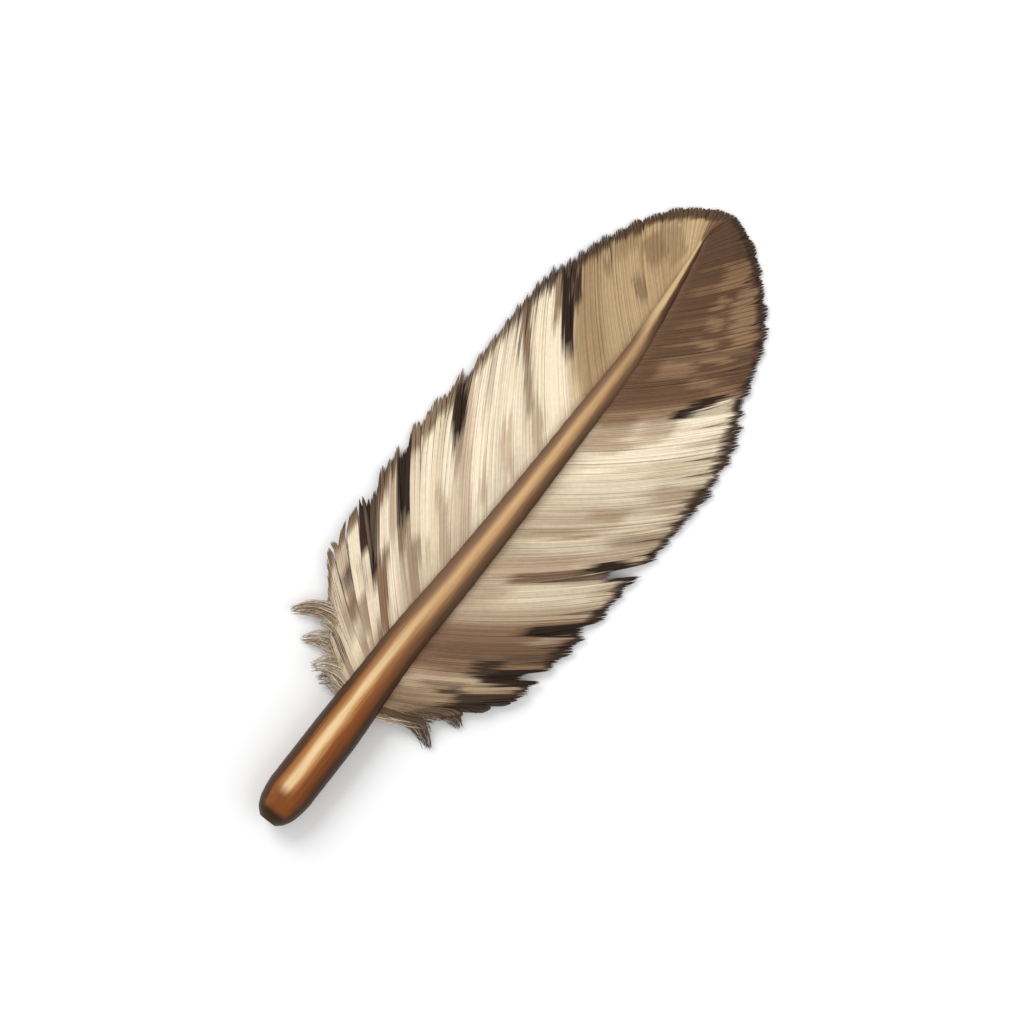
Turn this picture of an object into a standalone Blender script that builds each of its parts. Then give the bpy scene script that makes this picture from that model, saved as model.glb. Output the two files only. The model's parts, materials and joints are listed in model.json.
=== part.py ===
"""A shed wing feather of a large bird, lying on its underside with its upper side up.

It grew as one piece: a hollow quill that runs on as the tapering shaft, a vane on each side of the
shaft with its barbs gathered into locks, and loose downy tufts at the foot of both vanes.
+X runs from the quill's blunt end to the tip of the vane, +Y to the left vane and +Z up.
The origin is in the middle of the feather's length and width, on the surface that it lies on.
Driving sizes are in millimetres. x is measured from the quill's blunt end, y from the straight line
that the shaft bends about, and z from the surface.
"""

import math
import random

import bmesh
import bpy
import numpy as np

MM = 0.001

# Shaft: x, sideways place of its axis, height of its underside, width, depth
SHAFT = (
    (0.0, 2.4, 3.2, 4.6, 4.6),
    (1.6, 2.4, 1.6, 7.8, 7.8),
    (4.5, 2.4, 0.4, 10.2, 10.2),
    (9.0, 2.4, 0.0, 11.4, 11.0),
    (24.0, 2.4, 0.0, 11.4, 11.0),
    (36.0, 2.6, 1.0, 10.6, 9.8),
    (51.0, 2.9, 2.5, 9.4, 8.3),
    (75.0, 2.2, 4.2, 8.1, 6.9),
    (100.0, 1.9, 4.8, 7.0, 5.8),
    (122.0, 1.9, 4.3, 6.1, 4.8),
    (136.0, 2.0, 3.5, 5.2, 4.1),
    (148.0, 2.9, 2.5, 4.0, 3.2),
    (158.0, 4.0, 1.5, 2.7, 2.4),
    (167.0, 5.2, 0.8, 1.6, 1.6),
    (173.0, 6.1, 0.4, 0.9, 1.0),
)
SHAFT_SIDES = 16
SHAFT_RINGS = 30
GROOVE_SHARE = 0.22  # depth of the groove under the shaft, as a share of the shaft's depth
GROOVE_START, GROOVE_FULL = 38.0, 56.0
PIT_WIDTH_SHARE = 0.45  # the small pit in the blunt end, where the feather was fed as it grew
PIT_DEPTH = 2.5

# Vanes: x where a barb leaves the shaft, then x and y where it ends on the vane's outline
LEFT_BARBS = (
    (34.5, 41.0, 16.6),
    (38.3, 52.4, 25.6),
    (41.4, 61.5, 31.3),
    (45.4, 78.4, 32.0),
    (56.8, 90.2, 32.4),
    (70.5, 114.2, 31.0),
    (95.9, 137.3, 30.6),
    (118.0, 149.2, 27.5),
    (140.5, 161.2, 22.8),
    (157.0, 172.3, 16.0),
    (168.0, 178.3, 7.6),
    (172.3, 180.0, 3.0),
)
RIGHT_BARBS = (
    (34.5, 39.0, -12.6),
    (36.5, 43.9, -15.6),
    (38.3, 57.8, -26.9),
    (45.4, 66.6, -28.2),
    (56.8, 82.3, -30.6),
    (70.5, 101.6, -31.8),
    (91.2, 121.7, -32.8),
    (104.1, 134.7, -31.3),
    (118.0, 146.6, -26.2),
    (135.8, 160.5, -21.2),
    (150.0, 169.9, -13.6),
    (164.0, 177.2, -4.2),
    (172.3, 180.0, 3.0),
)
# Where the locks part along the shaft: the x of each main split, and the number of locks before it
LOCK_GROUPS = ((45.4, 3), (56.8, 3), (70.5, 3), (95.9, 5), (118.0, 5), (172.3, 9))
# Main splits: x at the shaft, then the share of the barb's length at which each side opens
LEFT_SPLITS = {45.4: 0.50, 56.8: 0.50, 70.5: 0.62, 95.9: 0.73, 118.0: 0.50}
RIGHT_SPLITS = {45.4: 0.50, 56.8: 0.62, 70.5: 0.38, 118.0: 0.50}
MAIN_GAP = 0.80  # how far a lock's side draws in to its middle at a main split, at the tip
SMALL_GAP = 0.50
SMALL_SPLIT_STARTS = (0.73, 0.83, 0.92)
BARB_STEPS = (0.0, 0.13, 0.26, 0.38, 0.50, 0.62, 0.73, 0.83, 0.92, 1.0)
BARB_BEND = 0.06  # how far a barb bows out, as a share of its length
BEND_FADE_START = 150.0  # from here to the shaft's tip the barbs straighten
LOCK_CREST = 0.33  # how far a lock's middle stands above the vane
LOCK_VALLEY = -0.22  # and how far its sides lie below it
CROWN_SKEW = 0.8  # below 1 the crest is highest nearer to the shaft than to the edge
TIP_REACH = 0.02  # most by which a lock's tip stands past the outline or stops short of it
CHANCE_SEED = 7
VANE_THICKNESS = 0.9
ATTACH_SHARE = 0.62  # where the vane meets the shaft, as a share of the shaft's depth
DROOP_POWER = 1.7  # the vane stays level near the shaft and falls off towards its edge
# Height of the vane's middle surface at its edge, by x at the shaft
EDGE_HEIGHT = ((34.5, 2.8), (45.4, 1.5), (60.0, 0.75), (120.0, 0.65), (172.3, 0.6))

# Downy tufts: where each starts on the shaft, where it heads, where it ends (x, y), and its end's height
TUFTS = (
    ((34.5, 3.5), (37.5, 9.5), (33.2, 13.2), 2.2),
    ((35.5, 3.5), (41.0, 12.0), (35.0, 16.4), 4.4),
    ((36.5, 3.5), (46.0, 15.5), (38.6, 22.0), 1.4),
    ((38.0, 3.5), (54.0, 19.0), (42.9, 28.0), 2.6),
    ((34.5, 1.0), (39.5, -5.5), (40.2, -13.5), 3.6),
    ((35.5, 1.0), (43.5, -9.0), (36.7, -16.6), 1.3),
    ((37.5, 1.0), (48.5, -11.5), (45.2, -19.4), 1.4),
)
TUFT_WIDTH, TUFT_TIP_WIDTH = 3.4, 0.9
TUFT_DEPTH, TUFT_TIP_DEPTH = 1.3, 0.65
TUFT_DROOP = 0.55  # share of a tuft's fall that lies before its bend
TUFT_STEPS, TUFT_SIDES = 7, 6

VANE_COLOUR = (0.73, 0.62, 0.45, 1.0)
VANE_ROUGHNESS = 0.6


def curve_through(stations, column, at):
    """Value at each x on a smooth curve through the stations, which never overshoots between them."""
    table = np.array(stations)
    x, v = table[:, 0], table[:, column]
    rise = np.diff(v) / np.diff(x)
    turns = rise[1:] * rise[:-1] <= 0
    total = np.where(turns, 1.0, rise[1:] + rise[:-1])
    middle = np.where(turns, 0.0, 2 * rise[1:] * rise[:-1] / total)
    slope = np.concatenate((rise[:1], middle, rise[-1:]))
    at = np.clip(at, x[0], x[-1])
    i = np.clip(np.searchsorted(x, at, side="right") - 1, 0, len(x) - 2)
    step = x[i + 1] - x[i]
    s = (at - x[i]) / step
    left = (1 + 2 * s) * (1 - s) ** 2 * v[i] + s * (1 - s) ** 2 * step * slope[i]
    right = s**2 * (3 - 2 * s) * v[i + 1] + s**2 * (s - 1) * step * slope[i + 1]
    return left + right


def smooth_step(low, high, at):
    """0 below low, 1 above high, and a smooth rise between them."""
    s = min(1.0, max(0.0, (at - low) / (high - low)))
    return s * s * (3 - 2 * s)


def shaft_ring(x):
    """The points round the shaft at x, with a flat facet underneath that turns into the groove."""
    side, under, width, depth = (float(curve_through(SHAFT, c, x)) for c in (1, 2, 3, 4))
    groove = GROOVE_SHARE * depth * smooth_step(GROOVE_START, GROOVE_FULL, x)
    points = []
    for i in range(SHAFT_SIDES):
        angle = 2 * math.pi * (i + 0.5) / SHAFT_SIDES - math.pi / 2
        y = side + width / 2 * math.cos(angle)
        z = under + depth / 2 * (1 + math.sin(angle) / math.cos(math.pi / SHAFT_SIDES))
        in_groove = i in (0, SHAFT_SIDES - 1)
        points.append((x * MM, y * MM, (z + groove * in_groove) * MM))
    return points


def bridge(bm, rings):
    """Joins each ring of vertices to the next with quads, the rings running anticlockwise seen from +X."""
    for low, high in zip(rings, rings[1:]):
        for i in range(len(low)):
            j = (i + 1) % len(low)
            bm.faces.new((low[i], low[j], high[j], high[i]))


def new_object(name, bm):
    """An object with the bmesh's faces turned outwards, linked to the scene."""
    bmesh.ops.recalc_face_normals(bm, faces=bm.faces)
    mesh = bpy.data.meshes.new(name)
    bm.to_mesh(mesh)
    bm.free()
    obj = bpy.data.objects.new(name, mesh)
    bpy.context.scene.collection.objects.link(obj)
    return obj


def build_shaft():
    """The quill and shaft: rings along the axis, a pitted blunt end and a closed tip."""
    ends = [row[0] for row in SHAFT]
    spread = np.linspace(ends[2], ends[-1], SHAFT_RINGS)
    bm = bmesh.new()
    rings = [[bm.verts.new(p) for p in shaft_ring(x)] for x in (*ends[:2], *spread)]
    bridge(bm, rings)
    bm.faces.new(reversed(rings[-1]))
    middle = sum((v.co for v in rings[0]), rings[0][0].co * 0) / SHAFT_SIDES
    rim = [bm.verts.new(middle.lerp(v.co, PIT_WIDTH_SHARE)) for v in rings[0]]
    bridge(bm, [rim, rings[0]])
    floor = bm.verts.new((PIT_DEPTH * MM, middle.y, middle.z))
    for i in range(SHAFT_SIDES):
        bm.faces.new((rim[i], floor, rim[(i + 1) % SHAFT_SIDES]))
    return new_object("shaft_core", bm)


def barb_point(barbs, root, t, lift):
    """A point at share t of the barb that leaves the shaft at root, a bowed line from shaft to outline."""
    start_y = float(curve_through(SHAFT, 1, root))
    end_x = float(curve_through(barbs, 1, root))
    end_y = float(curve_through(barbs, 2, root))
    run, rise = end_x - root, end_y - start_y
    outward = math.copysign(1.0, barbs[0][2])
    bow = BARB_BEND * (1 - smooth_step(BEND_FADE_START, SHAFT[-1][0], root)) * outward
    turn_x = root + run / 2 - rise * bow
    turn_y = start_y + rise / 2 + run * bow
    x = (1 - t) ** 2 * root + 2 * t * (1 - t) * turn_x + t**2 * end_x
    y = (1 - t) ** 2 * start_y + 2 * t * (1 - t) * turn_y + t**2 * end_y
    under, depth = (float(curve_through(SHAFT, c, root)) for c in (2, 4))
    at_shaft = under + ATTACH_SHARE * depth
    at_edge = float(curve_through(EDGE_HEIGHT, 1, root))
    z = at_shaft + (at_edge - at_shaft) * min(t, 1.0) ** DROOP_POWER
    crown = lift * math.sin(math.pi * min(t, 1.0) ** CROWN_SKEW)
    return x * MM, y * MM, (z + crown) * MM


def lock_roots():
    """The x of every border between locks along the shaft, from the foot of the vane to its tip."""
    roots = [LEFT_BARBS[0][0]]
    for end, count in LOCK_GROUPS:
        start = roots[-1]
        roots += [start + (end - start) * (i + 1) / count for i in range(count)]
    return roots


def build_vane():
    """Both vanes as one comb-shaped sheet: locks joined at the shaft and parted towards the outline."""
    chance = random.Random(CHANCE_SEED)
    roots = lock_roots()
    last = len(roots) - 1
    bm = bmesh.new()
    kept = {}

    def vertex(key, point):
        if key not in kept:
            kept[key] = bm.verts.new(point)
        return kept[key]

    for barbs, splits in ((LEFT_BARBS, LEFT_SPLITS), (RIGHT_BARBS, RIGHT_SPLITS)):
        starts = [splits.get(r, chance.choice(SMALL_SPLIT_STARTS)) for r in roots]
        gaps = [MAIN_GAP if r in splits else SMALL_GAP for r in roots]
        for k in range(last):
            middle = (roots[k] + roots[k + 1]) / 2
            reach = 1.0 + chance.uniform(-TIP_REACH, TIP_REACH)
            columns = []
            for place, border in enumerate((k, None, k + 1)):
                column = []
                for row, t in enumerate(BARB_STEPS):
                    if border is None:
                        point = barb_point(barbs, middle, t * reach, LOCK_CREST)
                        key = ("rachis", middle) if row == 0 else (barbs, k, row)
                    else:
                        open_from = starts[border]
                        parted = t > open_from and 0 < border < last
                        drawn = gaps[border] * (t - open_from) / (1 - open_from) if parted else 0.0
                        root = roots[border] + (middle - roots[border]) * drawn
                        point = barb_point(barbs, root, t, LOCK_VALLEY)
                        key = (barbs, border, row, place if parted else None)
                        if row == 0 or border == last:
                            key = ("shared", border, row)
                    column.append(vertex(key, point))
                columns.append(column)
            for one, two in zip(columns, columns[1:]):
                for row in range(len(BARB_STEPS) - 1):
                    bm.faces.new((one[row], two[row], two[row + 1], one[row + 1]))
    return new_object("feather", bm)


def build_tuft(name, start, heading, end, end_height):
    """One downy tuft: a flat tapering strand along a bowed line that droops from the shaft."""
    bm = bmesh.new()
    under, depth = (float(curve_through(SHAFT, c, start[0])) for c in (2, 4))
    begin = np.array((*start, under + depth / 2))
    turn = np.array((*heading, begin[2] + TUFT_DROOP * (end_height - begin[2])))
    finish = np.array((*end, end_height))
    rings = []
    for t in np.linspace(0.0, 1.0, TUFT_STEPS):
        centre = (1 - t) ** 2 * begin + 2 * t * (1 - t) * turn + t**2 * finish
        along = 2 * (1 - t) * (turn - begin) + 2 * t * (finish - turn)
        along /= np.linalg.norm(along)
        across = np.cross((0.0, 0.0, 1.0), along)
        across /= np.linalg.norm(across)
        up = np.cross(along, across)
        width = TUFT_WIDTH + (TUFT_TIP_WIDTH - TUFT_WIDTH) * t
        thick = TUFT_DEPTH + (TUFT_TIP_DEPTH - TUFT_DEPTH) * t
        angles = [2 * math.pi * i / TUFT_SIDES for i in range(TUFT_SIDES)]
        points = [
            centre + width / 2 * math.cos(a) * across + thick / 2 * math.sin(a) * up for a in angles
        ]
        rings.append([bm.verts.new(p * MM) for p in points])
    bridge(bm, rings)
    bm.faces.new(rings[0])
    bm.faces.new(rings[-1])
    return new_object(name, bm)


def join_to(body, part):
    """Fuses the part into the body with a Boolean union, and keeps the part as its operand only."""
    part.hide_render = True
    part.display_type = "WIRE"
    part.parent = body
    union = body.modifiers.new(f"join_{part.name}", "BOOLEAN")
    union.operation = "UNION"
    union.solver = "EXACT"
    union.object = part


def horn_material():
    """Feather keratin, cream to brown and only faintly glossy."""
    material = bpy.data.materials.new("feather_keratin")
    material.use_nodes = True
    shader = material.node_tree.nodes["Principled BSDF"]
    shader.inputs["Base Color"].default_value = VANE_COLOUR
    shader.inputs["Roughness"].default_value = VANE_ROUGHNESS
    shader.inputs["Metallic"].default_value = 0.0
    return material


def centre_on_surface(body):
    """Moves the feather so that the origin is in the middle of it, on the surface it lies on."""
    graph = bpy.context.evaluated_depsgraph_get()
    mesh = body.evaluated_get(graph).to_mesh()
    points = np.array([v.co for v in mesh.vertices])
    low, high = points.min(axis=0), points.max(axis=0)
    body.location = (-(low[0] + high[0]) / 2, -(low[1] + high[1]) / 2, -low[2])


def build():
    """Empties the scene, then builds the feather."""
    for old in list(bpy.data.objects):
        bpy.data.objects.remove(old, do_unlink=True)
    feather = build_vane()
    wall = feather.modifiers.new("vane_thickness", "SOLIDIFY")
    wall.thickness = VANE_THICKNESS * MM
    wall.offset = 0.0
    join_to(feather, build_shaft())
    for i, tuft in enumerate(TUFTS):
        join_to(feather, build_tuft(f"tuft_{i + 1}", *tuft))
    feather.data.materials.append(horn_material())
    feather.data.shade_smooth()
    centre_on_surface(feather)


build()
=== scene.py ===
"""A shed wing feather of a large bird, lying on its underside: its barbs, down and horn-like shaft.

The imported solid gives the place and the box. The vanes are made here barb by barb on the same curves
that the solid's locks follow, so every lock, split and tuft stays where the solid has it.
Lengths in the tables are in millimetres, measured as on the solid: x from the quill's blunt end,
y from the straight line that the shaft bends about, z from the surface that the feather lies on.
"""

import json
import logging
import math
from dataclasses import dataclass
from enum import Enum

import bpy
import numpy as np
from mathutils import Matrix, Vector

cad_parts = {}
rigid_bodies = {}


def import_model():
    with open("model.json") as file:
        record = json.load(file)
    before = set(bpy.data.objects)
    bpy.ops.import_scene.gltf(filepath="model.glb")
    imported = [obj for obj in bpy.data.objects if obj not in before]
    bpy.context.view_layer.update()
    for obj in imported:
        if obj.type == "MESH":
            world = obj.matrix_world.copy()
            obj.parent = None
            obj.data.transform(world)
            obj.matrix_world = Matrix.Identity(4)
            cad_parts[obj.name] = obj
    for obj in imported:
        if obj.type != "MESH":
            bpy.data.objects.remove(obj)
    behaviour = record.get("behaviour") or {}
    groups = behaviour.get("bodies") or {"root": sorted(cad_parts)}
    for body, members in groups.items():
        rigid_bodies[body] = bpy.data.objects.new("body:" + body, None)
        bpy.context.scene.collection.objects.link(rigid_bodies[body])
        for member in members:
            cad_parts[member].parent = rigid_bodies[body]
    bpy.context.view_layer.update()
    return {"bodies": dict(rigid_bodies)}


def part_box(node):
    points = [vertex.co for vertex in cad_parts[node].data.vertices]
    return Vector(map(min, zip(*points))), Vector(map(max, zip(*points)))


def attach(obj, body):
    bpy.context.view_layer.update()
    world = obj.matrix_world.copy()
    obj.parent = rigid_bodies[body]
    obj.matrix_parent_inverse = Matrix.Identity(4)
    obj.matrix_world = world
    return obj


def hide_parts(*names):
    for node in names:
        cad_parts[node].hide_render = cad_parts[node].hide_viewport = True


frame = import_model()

LOG = logging.getLogger("feather")
MM = 0.001
UP = (0.0, 0.0, 1.0)

Array = np.ndarray
Range = tuple[float, float]
Socket = bpy.types.NodeSocket
Stops = tuple[tuple[float, str], ...]
Tree = bpy.types.NodeTree

FIRST_ROOT, LAST_ROOT = 34.5, 172.3  # where the lowest and highest barbs leave the shaft
SIDEWAYS_MIDDLE = 0.128  # y of the tables' straight line from the middle of the feather's width


# The feather's curves
class Side(Enum):
    """Which vane, as the sign of its sideways direction."""

    LEFT = 1.0
    RIGHT = -1.0


class Smooth:
    """A smooth curve through stations, which never overshoots between them."""

    def __init__(self, stations: tuple[tuple[float, ...], ...]) -> None:
        """Keeps the stations and their slopes.

        Args:
            stations: rows of x and the values there.
        """
        table = np.array(stations, float)
        self.x, self.values = table[:, 0], table[:, 1:]
        rise = np.diff(self.values, axis=0) / np.diff(self.x)[:, None]
        same_way = rise[1:] * rise[:-1] > 0
        total = np.where(same_way, rise[1:] + rise[:-1], 1.0)
        middle = np.where(same_way, 2 * rise[1:] * rise[:-1] / total, 0.0)
        self.slope = np.concatenate((rise[:1], middle, rise[-1:]))

    def at(self, x: Array, column: int = 0) -> Array:
        """A cubic between each two stations, with the harmonic mean of the neighbouring rises as its slope.

        Args:
            x: where to read the curve, in any shape.
            column: which value of the stations.

        Returns:
            The values, in the shape of x.
        """
        x = np.clip(x, self.x[0], self.x[-1])
        i = np.clip(np.searchsorted(self.x, x, side="right") - 1, 0, len(self.x) - 2)
        step = self.x[i + 1] - self.x[i]
        s = (x - self.x[i]) / step
        v, m = self.values[:, column], self.slope[:, column]
        low = (1 + 2 * s) * (1 - s) ** 2 * v[i] + s * (1 - s) ** 2 * step * m[i]
        return low + s**2 * (3 - 2 * s) * v[i + 1] + s**2 * (s - 1) * step * m[i + 1]


def ease(low: float | Array, high: float | Array, x: Array) -> Array:
    """0 below low, 1 above high, and a smooth rise (three s squared minus two s cubed) between them."""
    s = np.clip((x - low) / (high - low), 0.0, 1.0)
    return s * s * (3 - 2 * s)


# Shaft: x, sideways place of its axis, height of its underside, width, depth
SHAFT = Smooth((
    (0.0, 2.4, 3.2, 4.6, 4.6),
    (1.6, 2.4, 1.6, 7.8, 7.8),
    (4.5, 2.4, 0.4, 10.2, 10.2),
    (9.0, 2.4, 0.0, 11.4, 11.0),
    (24.0, 2.4, 0.0, 11.4, 11.0),
    (36.0, 2.6, 1.0, 10.6, 9.8),
    (51.0, 2.9, 2.5, 9.4, 8.3),
    (75.0, 2.2, 4.2, 8.1, 6.9),
    (100.0, 1.9, 4.8, 7.0, 5.8),
    (122.0, 1.9, 4.3, 6.1, 4.8),
    (136.0, 2.0, 3.5, 5.2, 4.1),
    (148.0, 2.9, 2.5, 4.0, 3.2),
    (158.0, 4.0, 1.5, 2.7, 2.4),
    (167.0, 5.2, 0.8, 1.6, 1.6),
    (173.0, 6.1, 0.4, 0.9, 1.0),
))
AXIS_Y, UNDERSIDE, WIDTH, DEPTH = range(4)
EDGE_HEIGHT = Smooth(((34.5, 2.8), (45.4, 1.5), (60.0, 0.75), (120.0, 0.65), (172.3, 0.6)))
# Where the locks part along the shaft: the x of each main split, and the number of locks before it
LOCK_GROUPS = ((45.4, 3), (56.8, 3), (70.5, 3), (95.9, 5), (118.0, 5), (172.3, 9))


# Materials
def linear(code: str) -> tuple[float, float, float, float]:
    """A colour for the renderer.

    Args:
        code: sRGB hex colour.

    Returns:
        Linear red, green and blue, and full alpha.
    """
    share = np.array(tuple(bytes.fromhex(code))) / 255
    low, high = share / 12.92, ((share + 0.055) / 1.055) ** 2.4
    return (*np.where(share <= 0.04045, low, high).tolist(), 1.0)


def set_inputs(tree: Tree, node: bpy.types.Node, **inputs: object) -> None:
    """Links or sets a node's inputs.

    Args:
        tree: the node tree.
        node: the node.
        inputs: a socket to link from or a value, by input name with _ for a space, or by in0, in1 for
            an input by number. A name that isn't an input is passed over.
    """
    numbered = {f"in{i}": socket for i, socket in enumerate(node.inputs)}
    named = {socket.name.replace(" ", "_"): socket for socket in reversed(node.inputs)}
    for name, value in inputs.items():
        socket = numbered.get(name) or named.get(name)
        if socket and isinstance(value, Socket):
            tree.links.new(value, socket)
        elif socket:
            socket.default_value = value


def add_node(tree: Tree, kind: str, stops: Stops = (), **inputs: object) -> bpy.types.Node:
    """Adds a node with its settings and links.

    Args:
        tree: the node tree.
        kind: the node's type, without the ShaderNode in front.
        stops: place and hex colour of each stop, for a colour ramp.
        inputs: inputs as set_inputs takes them; any other name is one of the node's own settings.

    Returns:
        The node.
    """
    node = tree.nodes.new("ShaderNode" + kind)
    for name, value in inputs.items():
        if hasattr(node, name):
            setattr(node, name, value)
    set_inputs(tree, node, **inputs)
    for i, (place, code) in enumerate(stops):
        elements = node.color_ramp.elements
        element = elements[i] if i < 2 else elements.new(place)
        element.position, element.color = place, linear(code)
    return node


def new_material(name: str) -> tuple[bpy.types.Material, Tree, bpy.types.Node]:
    """A new material with nodes.

    Args:
        name: the material's name.

    Returns:
        The material, its tree and its Principled shader.
    """
    material = bpy.data.materials.new(name)
    material.use_nodes = True
    return material, material.node_tree, material.node_tree.nodes["Principled BSDF"]


def blend(tree: Tree, amount: object, under: object, over: object) -> Socket:
    """Mixes from one colour to another by an amount, each a socket or a value."""
    return add_node(tree, "Mix", data_type="RGBA", in0=amount, in6=under, in7=over).outputs[2]


def spread(tree: Tree, value: Socket, low: float, high: float) -> Socket:
    """Turns a value that runs from 0 to 1 into one from low to high."""
    return add_node(tree, "MapRange", Value=value, To_Min=low, To_Max=high).outputs["Result"]


def step_up(tree: Tree, value: Socket, start: float, end: float) -> Socket:
    """0 below start, 1 above end and a smooth step between them."""
    settings = {"interpolation_type": "SMOOTHSTEP", "From_Min": start, "From_Max": end}
    return add_node(tree, "MapRange", Value=value, **settings).outputs["Result"]


def ramp(tree: Tree, stops: Stops, place: Socket) -> Socket:
    """The colour at a place on a row of colour stops."""
    return add_node(tree, "ValToRGB", stops=stops, Fac=place).outputs["Color"]


def attribute(tree: Tree, name: str) -> tuple[Socket, ...]:
    """The three numbers of one of the piece's vector attributes."""
    vector = add_node(tree, "Attribute", attribute_name=name).outputs["Vector"]
    return tuple(add_node(tree, "SeparateXYZ", Vector=vector).outputs)


def noise(tree: Tree, place: Socket, per_mm: float, detail: float) -> Socket:
    """Noise with so many spots to a millimetre, at a place on the piece."""
    return add_node(tree, "TexNoise", Vector=place, Scale=per_mm / MM, Detail=detail).outputs["Fac"]


def along_shaft(stops: Stops) -> Stops:
    """Colour stops given by x along the shaft, turned to shares of the stretch that carries barbs."""
    return tuple(((x - FIRST_ROOT) / (LAST_ROOT - FIRST_ROOT), code) for x, code in stops)


@dataclass(frozen=True)
class BarbKeratin:
    """Pigmented feather keratin, grown as barbs with hooked barbules: matt, with a faint silky sheen.

    The eye sees bands that follow the barbs, each barb a shade off its neighbours, and darkened tips.
    """

    name: str
    ground: Stops
    streak: Stops
    light: str = "FDEED3"
    brown: str = "8A6B4D"
    dark: str = "332115"
    barb_shade: Range = (0.86, 1.08)
    patch_shade: Range = (0.9, 1.1)
    patches_per_mm: float = 0.9
    roughness: Range = (0.54, 0.72)
    ior: float = 1.54
    specular: float = 0.16
    sheen: float = 0.04
    sheen_roughness: float = 0.5

    def material(self) -> bpy.types.Material:
        """Builds the material from the piece's barb, tone and dark attributes.

        Returns:
            The material.
        """
        material, tree, shader = new_material(self.name)
        along, _, own = attribute(tree, "barb")
        light, streaky, brown = attribute(tree, "tone")
        dark = add_node(tree, "Attribute", attribute_name="dark").outputs["Fac"]
        place = add_node(tree, "TexCoord").outputs["Object"]
        patch = noise(tree, place, self.patches_per_mm, 3.0)
        ground, streak = (ramp(tree, along_shaft(stops), along) for stops in (self.ground, self.streak))
        colour = blend(tree, streaky, ground, streak)
        for amount, toward in ((light, self.light), (brown, self.brown), (dark, self.dark)):
            colour = blend(tree, amount, colour, linear(toward))
        own, patchy = spread(tree, own, *self.barb_shade), spread(tree, patch, *self.patch_shade)
        shade = add_node(tree, "Math", operation="MULTIPLY", in0=own, in1=patchy).outputs["Value"]
        toned = add_node(tree, "HueSaturation", Color=colour, Value=shade).outputs["Color"]
        set_inputs(
            tree, shader, Base_Color=toned, Roughness=spread(tree, patch, *self.roughness), IOR=self.ior,
            Specular_IOR_Level=self.specular, Sheen_Weight=self.sheen, Sheen_Roughness=self.sheen_roughness,
        )
        return material


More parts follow.
